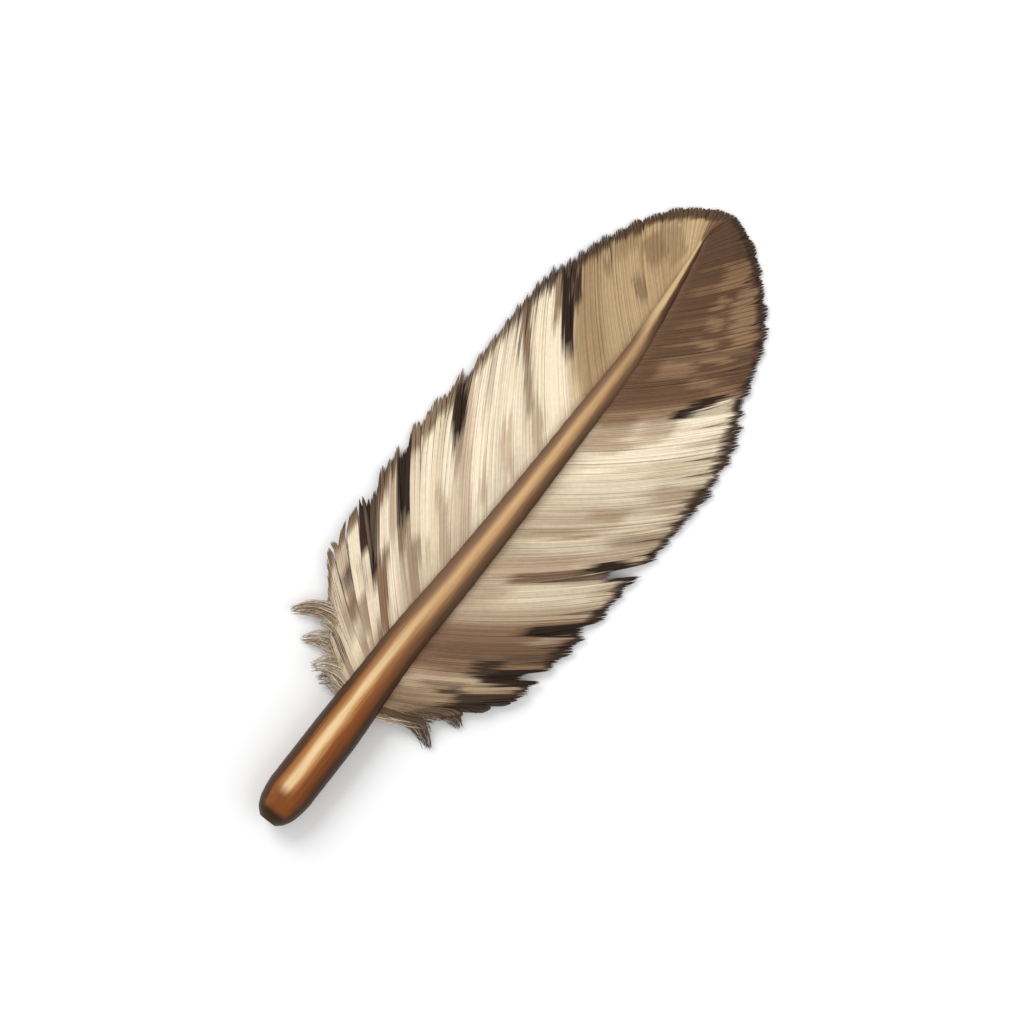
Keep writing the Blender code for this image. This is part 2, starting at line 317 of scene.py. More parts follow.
@dataclass(frozen=True)
class ShaftHorn:
    """Solid feather keratin, like thin horn: smooth and satiny, with fine lengthwise grain.

    The eye sees amber on the quill and paler tan between the vanes. The pale line along the quill's top, a
    little to its left, is a painted highlight, and the dark brown along both sides of the quill and the shaft
    is partly the horn's own darker flanks and partly painted shade. Along the underside between the vanes,
    the darker middle is painted shade in the groove. The stops run across the shaft, from its right to its
    left.
    """

    name: str = "feather_shaft_horn"
    # Quill: the pale line is a painted highlight; the dark sides are partly its own colour and partly painted
    # shade
    quill: Stops = (
        (0, "2E1B0A"), (0.12, "3F240E"), (0.18, "6E3A14"), (0.3, "7E4418"), (0.39, "8A4E20"),
        (0.44, "A66C37"), (0.5, "C4925A"), (0.55, "E2C390"), (0.65, "E8CA99"), (0.71, "BC864C"),
        (0.81, "8C5829"), (0.87, "4C2D14"), (1, "38240F"),
    )
    # Between the vanes: the dark brown flanks where the barbs join are partly painted shade
    rachis: Stops = (
        (0, "4C3624"), (0.14, "5E442D"), (0.27, "74553A"), (0.35, "9A744C"), (0.46, "C3996A"),
        (0.6, "D0A877"), (0.68, "AE885C"), (0.76, "836345"), (0.88, "745740"), (1, "664D38"),
    )
    # Near the tip: dark brown on the right half and tan on the left; the dark right side is partly painted
    # shade
    tip: Stops = (
        (0, "3F2C1E"), (0.4, "5A402C"), (0.5, "A98C62"), (0.6, "CDB283"), (0.86, "C6A97B"), (1, "A08460"),
    )
    # The quill's blunt end: the dark sides are partly painted shade
    quill_end: Stops = (
        (0, "2E1B0A"), (0.12, "3F240E"), (0.18, "6E3A14"), (0.3, "84491C"), (0.45, "824A1E"),
        (0.62, "7E4520"), (0.8, "8A5226"), (0.87, "4C2D14"), (1, "38240F"),
    )
    quill_below: Stops = (
        (0, "5A3A1E"), (0.2, "95693A"), (0.42, "BC905A"), (0.55, "C59A64"), (0.8, "9A6C3C"), (1, "5A3A1E"),
    )
    # Underside between the vanes: the darker middle is painted shade in the groove
    groove: Stops = (
        (0, "5E432C"), (0.22, "9C7650"), (0.38, "C39B6B"), (0.45, "8F6A44"), (0.5, "6E4F31"),
        (0.55, "8F6A44"), (0.62, "C39B6B"), (0.78, "9C7650"), (1, "5E432C"),
    )
    blunt_end: str = "38240F"
    upper_brown: str = "84654A"
    upper_brown_most: float = 0.38
    # Shares of the shaft's length between which one colour turns into the next
    quill_end_starts: Range = (0.012, 0.022)
    quill_starts: Range = (0.038, 0.06)
    rachis_starts: Range = (0.17, 0.42)
    upper_brown_starts: Range = (0.64, 0.8)
    tip_starts: Range = (0.815, 0.88)
    grain_per_mm: float = 1.6
    grain_stretch: float = 0.06
    grain_wander: float = 0.07
    grain_shade: Range = (0.82, 1.14)
    grain_height: float = 0.05
    grain_strength: float = 0.25
    roughness: Range = (0.34, 0.54)
    ior: float = 1.56
    specular: float = 0.14

    def material(self) -> bpy.types.Material:
        """Builds the material from the piece's round attribute: along, across and facing up.

        Returns:
            The material.
        """
        material, tree, shader = new_material(self.name)
        along, side, facing_up = attribute(tree, "round")
        place = add_node(tree, "TexCoord").outputs["Object"]
        drawn = add_node(tree, "Mapping", Vector=place, Scale=(self.grain_stretch, 1.0, 1.0))
        grain = noise(tree, drawn.outputs["Vector"], self.grain_per_mm, 4.0)
        wander = spread(tree, grain, -self.grain_wander, self.grain_wander)
        across = add_node(tree, "Math", operation="ADD", in0=side, in1=wander).outputs["Value"]
        quill_end, quill, rachis, tip, quill_below, groove = (
            ramp(tree, stops, across)
            for stops in (self.quill_end, self.quill, self.rachis, self.tip, self.quill_below, self.groove)
        )
        between_vanes = step_up(tree, along, *self.rachis_starts)
        above = blend(tree, step_up(tree, along, *self.quill_starts), quill_end, quill)
        above = blend(tree, between_vanes, above, rachis)
        browned = spread(tree, step_up(tree, along, *self.upper_brown_starts), 0.0, self.upper_brown_most)
        above = blend(tree, browned, above, linear(self.upper_brown))
        above = blend(tree, step_up(tree, along, *self.tip_starts), above, tip)
        below = blend(tree, between_vanes, quill_below, groove)
        colour = blend(tree, facing_up, below, above)
        colour = blend(tree, step_up(tree, along, *self.quill_end_starts), linear(self.blunt_end), colour)
        toned = add_node(tree, "HueSaturation", Color=colour, Value=spread(tree, grain, *self.grain_shade))
        height = self.grain_height * MM
        bump = add_node(tree, "Bump", Strength=self.grain_strength, Distance=height, Height=grain)
        set_inputs(
            tree, shader, Base_Color=toned.outputs["Color"], Roughness=spread(tree, grain, *self.roughness),
            Normal=bump.outputs["Normal"], IOR=self.ior, Specular_IOR_Level=self.specular,
        )
        return material


@dataclass(frozen=True)
class PlainPaper:
    """Matt white board, as laid under small things in a studio: the eye sees only soft shadows on it."""

    name: str = "white_board"
    colour: str = "FFFFFF"
    roughness: float = 0.95

    def material(self) -> bpy.types.Material:
        """Builds the material.

        Returns:
            The material.
        """
        material, tree, shader = new_material(self.name)
        colour = linear(self.colour)
        set_inputs(tree, shader, Base_Color=colour, Roughness=self.roughness, Specular_IOR_Level=0.0)
        return material


# Meshes
def row_place(points: Array) -> Array:
    """Moves points to the row's frame with the solid's own box.

    Args:
        points: in the tables' millimetres.

    Returns:
        The points in metres.
    """
    low, high = (np.array(corner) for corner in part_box("feather"))
    middle = (low + high) / 2
    shift = np.array((low[0], middle[1] + SIDEWAYS_MIDDLE * MM, low[2]))
    return points * MM + shift


def new_piece(
    name: str, points: Array, skin: "Skin", uv: Array, values: dict[str, Array]
) -> bpy.types.Object:
    """A smooth-shaded mesh object at the origin.

    Args:
        name: the piece's name.
        points: its vertices in the tables' millimetres, in the skin's order.
        skin: the faces that join them.
        uv: a place on the bake's map for every face corner, from 0 to 1.
        values: vertex attributes by name, vectors or single numbers.

    Returns:
        The object, linked to the scene.
    """
    mesh = bpy.data.meshes.new(name)
    mesh.vertices.add(len(points))
    mesh.loops.add(len(skin.corners))
    mesh.polygons.add(len(skin.starts))
    mesh.vertices.foreach_set("co", row_place(points).astype(np.float32).ravel())
    mesh.loops.foreach_set("vertex_index", skin.corners)
    mesh.polygons.foreach_set("loop_start", skin.starts)
    mesh.polygons.foreach_set("use_smooth", np.ones(len(skin.starts), bool))
    mesh.update(calc_edges=True)
    for key, value in values.items():
        kind, prop = ("FLOAT_VECTOR", "vector") if value.ndim == 2 else ("FLOAT", "value")
        mesh.attributes.new(key, kind, "POINT").data.foreach_set(prop, value.astype(np.float32).ravel())
    mesh.uv_layers.new(name="OFBake").uv.foreach_set("vector", np.clip(uv, 0, 1).astype(np.float32).ravel())
    piece = bpy.data.objects.new(name, mesh)
    bpy.context.scene.collection.objects.link(piece)
    return piece


class Skin:
    """Faces of closed strands whose vertices run strand by strand, step by step and round each ring.

    A quad joins each side of a ring to the next ring, and a cap closes each end.
    """

    def __init__(self, count: int, steps: int, sides: int) -> None:
        """Makes the faces.

        Args:
            count: number of strands.
            steps: rings along each strand.
            sides: vertices round each ring.
        """
        strand, row, turn, corner = np.indices((count, steps - 1, sides, 4)).reshape(4, -1)
        cap, own, place = np.indices((2, count, sides)).reshape(3, -1)
        self.strand = np.append(strand, own)
        self.row = np.append(row + (corner > 1), cap * (steps - 1))
        self.turn = np.append(turn + np.isin(corner, (1, 2)), np.where(cap, place, sides - 1 - place))
        self.corners = ((self.strand * steps + self.row) * sides + self.turn % sides).astype(np.int32)
        sizes = np.repeat((4, sides), (len(corner) // 4, 2 * count))
        self.starts = np.append(0, np.cumsum(sizes)[:-1]).astype(np.int32)


def unit(v: Array) -> Array:
    """Vectors along the last axis, made one long."""
    return v / np.maximum(np.linalg.norm(v, axis=-1, keepdims=True), 1e-9)


def sweep(lines: Array, across: Array, section: Array, wide: Array, deep: Array) -> Array:
    """Carries a closed section along many lines at once.

    A ring's point is the line's point, plus the section's first number times the width across the line,
    plus its second number times the depth along the normal of line and across.

    Args:
        lines: points, by strand and step.
        across: sideways vectors, by strand and step; their length is the strand's pitch.
        section: points of the section, anticlockwise as seen against the line's direction.
        wide: factor on the width, by strand and step.
        deep: depth in millimetres, by strand and step.

    Returns:
        Points by strand, step and place round the ring.
    """
    along = unit(np.gradient(lines, axis=1))
    across = across - (across * along).sum(-1, keepdims=True) * along
    up = unit(np.cross(along, across))
    side = across[:, :, None] * section[:, 0, None] * wide[:, :, None, None]
    rise = up[:, :, None] * section[:, 1, None] * deep[:, :, None, None]
    return lines[:, :, None] + side + rise


def strand_piece(
    name: str, rings: Array, section: Array, along: Array, share: Array, own: Array, tones: Array
) -> bpy.types.Object:
    """A piece of closed strands, each with its own column of the bake's map, its length upwards.

    Args:
        name: the piece's name.
        rings: points by strand, step and place round the ring.
        section: the section that the strands were swept with.
        along: place along the shaft from 0 to 1, by strand.
        share: share of the length, by strand and step.
        own: each strand's own chance.
        tones: light, streak, brown and dark, by strand and step.

    Returns:
        The object.
    """
    count, steps, sides = rings.shape[:3]
    skin = Skin(count, steps, sides)
    column = (skin.strand + 0.5 + 0.9 * section[skin.turn % sides, 0]) / count
    uv = np.stack((column, 0.01 + 0.94 * share[skin.strand, skin.row]), -1)
    barb = np.stack((along[:, None] + 0 * share, share, own[:, None] + 0 * share), -1)
    values = {"barb": barb, "tone": tones[..., :3], "dark": tones[..., 3]}
    on_rings = {key: np.repeat(value, sides, axis=1) for key, value in values.items()}
    on_points = {key: value.reshape(-1, *value.shape[2:]) for key, value in on_rings.items()}
    return new_piece(name, rings.reshape(-1, 3), skin, uv, on_points)


# Colours of the barbs
class Tone(Enum):
    """What a mark turns the barbs towards, as a column of the tones."""

    LIGHT = 0
    STREAK = 1
    BROWN = 2
    DARK = 3


LIGHT, STREAK, BROWN, DARK = Tone


def at_least(tones: Array, tone: Tone, amount: Array) -> None:
    """Raises a column of the tones to an amount, where it lies below it."""
    column = tones[..., tone.value]
    np.maximum(column, amount, out=column)


@dataclass(frozen=True)
class Mark:
    """A stretch of colour on neighbouring barbs, from one root to another and between two shares of
    their length. Lean is how far it moves along the shaft over a barb's whole length."""

    low: float
    high: float
    start: float
    stop: float
    lean: float = 0.0
    amount: float = 1.0

    SOFT_SIDE, SOFT_END = 0.3, 0.03  # how far its soft edges reach: millimetres, and share of the length

    def over(self, root: Array, share: Array) -> Array:
        """How strongly it colours each point: the product of four eased edges.

        Args:
            root: x at the shaft, by barb.
            share: share of the length, by barb and step.

        Returns:
            Amounts by barb and step.
        """
        x = root - self.lean * (share - (self.start + self.stop) / 2)
        begun = ease(self.low - self.SOFT_SIDE, self.low + self.SOFT_SIDE, x)
        ended = 1 - ease(self.high - self.SOFT_SIDE, self.high + self.SOFT_SIDE, x)
        inner = ease(self.start - self.SOFT_END, self.start + self.SOFT_END, share)
        outer = 1 - ease(self.stop - 0.02, self.stop + self.SOFT_END, share)
        return self.amount * (begun * ended) * inner * outer


# The vanes, the shaft and the down
@dataclass
class Barbs:
    """Some barbs of a vane: x at the shaft, and their own chances, one of each for a barb."""

    root: Array
    lock: Array
    strand: Array
    of_lock: Array
    of_strand: Array
    of_self: Array


@dataclass
class Vane:
    """One vane: barbs on bowed lines from the shaft to the outline, gathered in strands and locks.

    The outline gives a barb's end, and the edge the start, darkness and brownness of its darkened end,
    both by x at the shaft. Splits has the x of each main split and the share of the length at which it
    opens, and fill_reach the share to which the barbs in a split reach, where that isn't fill_end.
    Marks has rows of a Mark's values by tone.
    """

    side: Side
    outline: Smooth
    splits: dict[float, float]
    fill_reach: dict[float, float]
    finish: BarbKeratin
    marks: dict[Tone, tuple[tuple[float, ...], ...]]
    edge: Smooth
    seed: int
    spacing: float = 0.38
    spaced_share: float = 0.68
    strand_width: float = 1.25
    most_strands: int = 200
    steps: int = 17
    bend: float = 0.06
    bend_fade: Range = (150.0, 173.0)
    root_height: float = 0.62
    droop_power: float = 1.7
    crest: float = 0.33
    valley: float = -0.22
    strand_crest: float = 0.13
    main_gap: float = 0.80
    small_gap: float = 0.30
    small_opens: tuple[float, ...] = (0.73, 0.83, 0.92)
    strand_lean: float = 0.2
    overlap: float = 1.6
    narrow_share: float = 0.05
    ridge_height: float = 0.12
    lowest: float = 0.04
    # The lowest barbs are loose: how far along the shaft, and by how much they wave and are narrower
    loose_length: float = 5.0
    loose_most: float = 0.5
    # Barbs in a main split and in a small one: how many, how far to each side, how they lie, and how much
    # painted shade browns and darkens them
    fill_counts: tuple[int, int] = (11, 5)
    fill_widths: Range = (1.7, 1.1)
    fill_begin: float = 0.14
    fill_end: float = 0.975
    fill_overlap: float = 1.5
    fill_drop: float = 0.45
    fill_lowest: float = 0.22
    fill_brown: float = 0.55
    fill_dark: float = 0.5
    # Streaks and brown that no mark gives: how strong, with the brown at the lock sides and beside the shaft
    # as painted shade, and up to where the foot of the vane is brown
    streak_amount: float = 0.5
    lock_side_shade: float = 0.4
    shaft_side_shade: float = 0.7
    foot_brown: float = 0.0
    foot_brown_ends: Range = (98.0, 112.0)

    # A barb's section: thin barbule webs either side of a ridge, one web's edge under the next barb's
    SECTION = np.array(((0.5, 0.0), (0.0, 1.0), (-0.5, -0.6)))

    def __post_init__(self) -> None:
        """Starts the vane's random numbers and parts its locks with them."""
        self.chance = np.random.default_rng(self.seed)
        self.borders, self.opens, self.main = self.parted()

    def surface(self, root: Array, share: Array) -> Array:
        """The vane's middle surface: a bowed line in plan from shaft to outline, level near the shaft and
        drooping to its edge.

        Args:
            root: x at the shaft, by strand and step.
            share: share of the barb's length, in the same shape.

        Returns:
            Points in millimetres.
        """
        start = SHAFT.at(root, AXIS_Y)
        end_x, end_y = self.outline.at(root, 0), self.outline.at(root, 1)
        run, rise = end_x - root, end_y - start
        bow = self.bend * (1 - ease(*self.bend_fade, root)) * self.side.value
        turn_x, turn_y = root + run / 2 - rise * bow, start + rise / 2 + run * bow
        near, mid, far = (1 - share) ** 2, 2 * share * (1 - share), share**2
        x = near * root + mid * turn_x + far * end_x
        y = near * start + mid * turn_y + far * end_y
        high = SHAFT.at(root, UNDERSIDE) + self.root_height * SHAFT.at(root, DEPTH)
        fall = np.minimum(share, 1.0) ** self.droop_power
        return np.stack((x, y, high + (EDGE_HEIGHT.at(root) - high) * fall), -1)

    def parted(self) -> tuple[Array, Array, Array]:
        """Parts the locks in their groups along the shaft; a small split opens at a share by chance.

        Returns:
            The x of each border, the share at which it opens, and whether it is a main split.
        """
        roots = [FIRST_ROOT]
        for end, count in LOCK_GROUPS:
            roots += list(np.linspace(roots[-1], end, count + 1)[1:])
        small = self.chance.choice(self.small_opens, len(roots))
        opens = [self.splits.get(round(float(x), 3), float(share)) for x, share in zip(roots, small)]
        return np.array(roots), np.array(opens), np.isin(np.round(roots, 3), list(self.splits))

    def spaced_roots(self) -> Array:
        """Where the barbs leave the shaft, so that neighbours lie evenly there or at two thirds of their
        length, whichever of the two is the wider.

        Returns:
            The barbs' x at the shaft.
        """
        fine = np.linspace(FIRST_ROOT, LAST_ROOT, 3000)
        far = self.surface(fine, np.full_like(fine, self.spaced_share))
        speed = np.linalg.norm(np.gradient(far[:, :2], fine, axis=0), axis=1)
        length = np.concatenate(([0.0], np.cumsum(np.maximum(1.0, speed)[1:] * np.diff(fine))))
        count = int(length[-1] / self.spacing)
        wanted = (np.arange(count) + 0.5 + self.chance.uniform(-0.2, 0.2, count)) / count
        return np.interp(wanted * length[-1], length, fine)

    def new_barbs(self, root: Array) -> Barbs:
        """Puts barbs in their strands and locks, with the chances of each.

        Args:
            root: the barbs' x at the shaft.

        Returns:
            The barbs.
        """
        count = len(self.borders)
        lock = np.clip(np.searchsorted(self.borders, root, side="right") - 1, 0, count - 2)
        strand = np.floor(root / self.strand_width).astype(int)
        of_lock = self.chance.uniform(-1, 1, count)[lock]
        of_strand = self.chance.uniform(-1, 1, self.most_strands)[strand]
        return Barbs(root, lock, strand, of_lock, of_strand, self.chance.uniform(0, 1, len(root)))

    def in_lock(self, barbs: Barbs) -> tuple[Array, Array]:
        """Where barbs stand in their locks.

        Args:
            barbs: the barbs.

        Returns:
            The middle of each barb's lock, and the barb's place in it from -1 to 1.
        """
        low, high = self.borders[barbs.lock], self.borders[barbs.lock + 1]
        middle = (low + high) / 2
        return middle, (barbs.root - middle) / ((high - low) / 2)

    def gathered(self, barbs: Barbs, share: Array) -> Array:
        """Where along the shaft a barb seems to start once its lock draws it in.

        Beyond the share at which a border opens, each barb moves towards its lock's middle in proportion
        to its distance from it. Barbs of a strand lean together as well.

        Args:
            barbs: the barbs.
            share: share of the length, by barb and step.

        Returns:
            The drawn-in x by barb and step.
        """
        middle, place = self.in_lock(barbs)
        border = np.where(place < 0, barbs.lock, barbs.lock + 1)
        outer = (border == 0) | (border == len(self.borders) - 1)
        gap = np.where(outer, 0.0, np.where(self.main[border], self.main_gap, self.small_gap))
        opens = self.opens[border][:, None]
        opened = np.clip((share - opens) / (1 - opens), 0.0, 1.1)
        drawn = middle[:, None] + (barbs.root - middle)[:, None] * (1 - gap[:, None] * opened)
        to_strand = (barbs.strand + 0.5) * self.strand_width - barbs.root
        return drawn + self.strand_lean * to_strand[:, None] * share**2

    def tones(self, barbs: Barbs, share: Array, place: Array) -> Array:
        """Light, streak, brown and dark of each point, from the marks, the edge and the strands' chances,
        with painted shade as brown at the lock sides and beside the shaft.

        Marks begin and end with whole strands, each barb a little before or after its neighbours.

        Args:
            barbs: the barbs.
            share: share of the length, by barb and step.
            place: place in the lock from -1 to 1, by barb.

        Returns:
            Four amounts by barb and step.
        """
        stray = (barbs.of_self - 0.5)[:, None]
        x = ((barbs.strand + 0.5) * self.strand_width)[:, None] + 0.35 * stray
        moved = share + 0.035 * barbs.of_strand[:, None] + 0.05 * stray
        tones = np.zeros((*share.shape, len(Tone)))
        for tone, rows in self.marks.items():
            for row in rows:
                at_least(tones, tone, Mark(*row).over(x, moved))
        streaky = ease(0.3, 0.8, barbs.of_strand)[:, None] * ease(0.15, 0.3, share)
        at_least(tones, STREAK, self.streak_amount * streaky * (1 - tones[..., LIGHT.value]))
        # Painted shade: brown on the barbs at the sides of each lock, towards their ends
        lock_side_shade_mask = (np.abs(place) ** 5)[:, None] * ease(0.45, 0.9, share)
        at_least(tones, BROWN, self.lock_side_shade * lock_side_shade_mask)
        start, darkness, brownness = (self.edge.at(barbs.root, column)[:, None] for column in range(3))
        start = start - 0.02 * (barbs.of_strand + barbs.of_lock)[:, None]
        edge = ease(start, start + 0.03, share)
        tones[..., LIGHT.value] *= 1 - edge
        at_least(tones, BROWN, edge * brownness)
        at_least(tones, DARK, edge * darkness)
        foot = 1 - ease(*self.foot_brown_ends, barbs.root)[:, None]
        at_least(tones, BROWN, self.foot_brown * (1 - ease(0.15, 0.32, share)) * foot)
        # Painted shade: brown on the barbs' bases beside the shaft
        at_least(tones, BROWN, self.shaft_side_shade * (1 - ease(0.1, 0.17, share)))
        return tones

    def ribbons(self, root: Array, step: Array, share: Array) -> tuple[Array, Array]:
        """Barbs' lines on the vane's surface, and the way across each to the next barb, a step away."""
        ahead, behind = (self.surface(root + k * step, share) for k in (0.5, -0.5))
        return self.surface(root, share), -self.side.value * (ahead - behind)

    def narrowing(self, left: Array) -> Array:
        """How wide a barb is by the share of its length that is left to its end."""
        return np.clip(left / self.narrow_share, 0.05, 1.0)

    def top_rings(self, barbs: Barbs) -> tuple[Array, Array, Array]:
        """The barbs of the vane's face, each a ribbon on its line with a swell over strand and lock.

        The lowest ones are loose: they are narrower and wave.

        Args:
            barbs: the barbs.

        Returns:
            Rings, shares of the length and tones, by barb and step.
        """
        along = 1 - (1 - np.linspace(0.0, 1.0, self.steps)[None]) ** 1.25
        _, place = self.in_lock(barbs)
        reach = 1.0 + 0.012 * barbs.of_lock - 0.022 * place**2 + 0.008 * barbs.of_strand
        share = along * (reach + self.chance.normal(0, 0.005, len(reach)))[:, None]
        drawn = self.gathered(barbs, share)
        tight = 1 - self.small_gap * ease(0.75, 1.0, share) * 0.8
        lines, across = self.ribbons(drawn, np.gradient(barbs.root)[:, None] * tight, share)
        crown = self.crest + (self.valley - self.crest) * np.abs(place)
        swell = np.sin(math.pi * np.minimum(share, 1.0) ** 0.8)
        in_strand = (barbs.root / self.strand_width - barbs.strand - 0.5) * 2
        ridge = self.strand_crest * (1 - in_strand**2) + 0.05 * barbs.of_strand
        near_foot = np.exp(-(((barbs.root - FIRST_ROOT) / self.loose_length) ** 2))
        loose = self.loose_most * near_foot[:, None] * ease(0.25, 1.0, share)
        phase = self.chance.uniform(0, 2 * math.pi, len(barbs.root))[:, None]
        lines[..., 2] += crown[:, None] * swell + ridge[:, None] * ease(0.03, 0.25, share)
        lines[..., 2] += loose * (1 + np.sin(6 * share + phase)) + 0.03 * (barbs.of_self[:, None] - 0.5)
        lines[..., 0] += loose * np.sin(7 * share + 0.7 * phase)
        taper = self.narrowing(1 - along) ** 0.6 + 0 * share
        wide = (self.overlap - loose) * taper
        rings = sweep(lines, across, self.SECTION, wide, self.ridge_height * np.sqrt(taper))
        return rings, share, self.tones(barbs, share, place)

    def fill_rings(self) -> tuple[Array, Array, Array, Barbs]:
        """Barbs that lie a little lower where the locks draw apart, browned with painted shade and darkest in
        the middle of the main splits.

        Returns:
            Rings, shares of the length and tones, by barb and step, and the barbs.
        """
        chance, inner, main = self.chance, self.borders[1:-1], self.main[1:-1]
        counts = np.where(main, *self.fill_counts)
        which = np.repeat(np.arange(len(inner)), counts)
        offset = np.concatenate([np.linspace(-1, 1, n) for n in counts])
        width = np.where(main, *self.fill_widths)[which]
        root = inner[which] + offset * width + chance.uniform(-0.08, 0.08, len(which))
        ends = np.array([self.fill_reach.get(round(float(x), 3), self.fill_end) for x in inner])[which]
        ends = ends + chance.normal(0, 0.008, len(which))
        start = (self.opens[1:-1] - self.fill_begin)[which] + chance.normal(0, 0.025, len(which))
        share = start[:, None] + (ends - start)[:, None] * np.linspace(0.0, 1.0, self.steps)[None]
        since = share - start[:, None]
        pitch = (2 * width / (counts[which] - 1))[:, None]
        lines, across = self.ribbons(root[:, None] + 0 * share, pitch, share)
        lowered = lines[..., 2] - self.fill_drop * ease(-0.04, 0.06, since)
        lines[..., 2] = np.maximum(lowered, self.fill_lowest)
        taper = (self.narrowing(ends[:, None] - share) * self.narrowing(since)) ** 0.6
        wide, deep = self.fill_overlap * taper, self.ridge_height * np.sqrt(taper)
        rings = sweep(lines, across, self.SECTION, wide, deep)
        barbs = self.new_barbs(root)
        tones = self.tones(barbs, share, np.zeros(len(root)))
        # Painted shade in the splits: brown on all these barbs, and dark in the middle of the main splits
        deep_in = (main[which] & (np.abs(offset) < 0.5))[:, None]
        split_shade = ease(0.06, 0.16, since) * (1 - 0.75 * tones[..., LIGHT.value])
        at_least(tones, DARK, self.fill_dark * deep_in * split_shade)
        at_least(tones, BROWN, self.fill_brown * split_shade)
        return rings, share, tones, barbs

    def build(self, body: str) -> bpy.types.Object:
        """Makes the vane.

        Args:
            body: the body that the vane rides on.

        Returns:
            The finished piece.
        """
        barbs = self.new_barbs(self.spaced_roots())
        top = self.top_rings(barbs)
        *fill, low = self.fill_rings()
        rings, share, tones = (np.concatenate(pair) for pair in zip(top, fill))
        rings[..., 2] = np.maximum(rings[..., 2], self.lowest)
        along = (np.concatenate((barbs.root, low.root)) - FIRST_ROOT) / (LAST_ROOT - FIRST_ROOT)
        own = np.concatenate((barbs.of_self, low.of_self))
        name = f"{self.side.name.lower()}_vane"
        piece = strand_piece(name, rings, self.SECTION, along, share, own, tones)
        piece.data.materials.append(self.finish.material())
        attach(piece, body)
        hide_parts("feather")
        return piece


@dataclass
class Shaft:
    """The quill and the shaft between the vanes: rings along a gently arched axis."""

    finish: ShaftHorn
    length: float = 173.0
    rows: int = 340
    sides: int = 72
    # Rows of the pit in the blunt end, bottom first: x, and share of the ring's size
    pit: tuple[Range, ...] = ((2.5, 0.02), (1.5, 0.22), (0.5, 0.34), (0.1, 0.42), (0.0, 0.55), (0.0, 0.9))
    groove_share: float = 0.22
    groove_width: float = 0.34
    groove_starts: Range = (38.0, 56.0)
    ridge_height: float = 0.035
    cross_height: float = 0.02
    cross_fade: Range = (30.0, 42.0)

    def rings(self) -> tuple[Array, Array]:
        """The shaft's surface as a function of row and angle.

        Each ring is an oval of the shaft's width and depth at that x. A narrow groove is pressed into its
        underside beyond the quill, fine ridges run lengthwise, and faint rings cross the quill. The first
        rows fold into the pit in the blunt end.

        Returns:
            Points by row and angle, and the along, across and facing-up values in the same shape.
        """
        pit = np.array(self.pit)
        body = self.length * (np.linspace(0, 1, self.rows) ** 1.15)
        x = np.concatenate((pit[:, 0], body))[:, None]
        shrink = np.concatenate((pit[:, 1], np.ones(self.rows)))[:, None]
        at = np.concatenate((np.zeros(len(pit)), body))[:, None]
        angle = 2 * math.pi * (np.arange(self.sides) + 0.5)[None] / self.sides - math.pi / 2
        width, depth = SHAFT.at(at, WIDTH), SHAFT.at(at, DEPTH)
        fine = np.sin(17 * angle) + 0.7 * np.sin(29 * angle + 1.3) + 0.5 * np.sin(41 * angle + 0.06 * x)
        cross = np.sin(1.9 * x) * np.sin(0.43 * x + 1.0) * (1 - ease(*self.cross_fade, x)) * ease(2.0, 6.0, x)
        relief = self.ridge_height * fine / 2.2 + self.cross_height * cross
        grow = 1 + relief / (width / 2) * ease(0.0, 8.0, x)
        from_below = np.minimum(angle + math.pi / 2, 1.5 * math.pi - angle)
        under = np.exp(-((from_below / self.groove_width) ** 2))
        groove = self.groove_share * depth * under * ease(*self.groove_starts, at)
        y = SHAFT.at(at, AXIS_Y) + width / 2 * np.cos(angle) * grow * shrink
        z = SHAFT.at(at, UNDERSIDE) + depth / 2 * (1 + np.sin(angle) * grow * shrink) + groove
        points = np.stack((x + 0 * angle, y, np.maximum(z, 0.0)), -1)
        facing = ease(-0.75, 0.1, np.sin(angle)) + 0 * x
        values = np.stack((x / self.length + 0 * angle, 0.5 + 0.5 * np.cos(angle) + 0 * x, facing), -1)
        return points, values

    def build(self, body: str) -> bpy.types.Object:
        """Makes the shaft.

        Args:
            body: the body that the shaft rides on.

        Returns:
            The finished piece.
        """
        points, values = self.rings()
        rows, sides = points.shape[:2]
        skin = Skin(1, rows, sides)
        uv = np.stack((values[skin.row, 0, 0], 0.01 + 0.98 * skin.turn / sides), -1)
        piece = new_piece("shaft", points.reshape(-1, 3), skin, uv, {"round": values.reshape(-1, 3)})
        piece.data.materials.append(self.finish.material())
        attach(piece, body)
        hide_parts("feather")
        return piece


@dataclass(frozen=True)
class Tuft:
    """A downy tuft: where it starts on the shaft, where it heads, where it ends, its end's height, and
    how brown and how dark its ends are."""

    start: Range
    heading: Range
    end: Range
    end_height: float
    brown: float
    dark: float


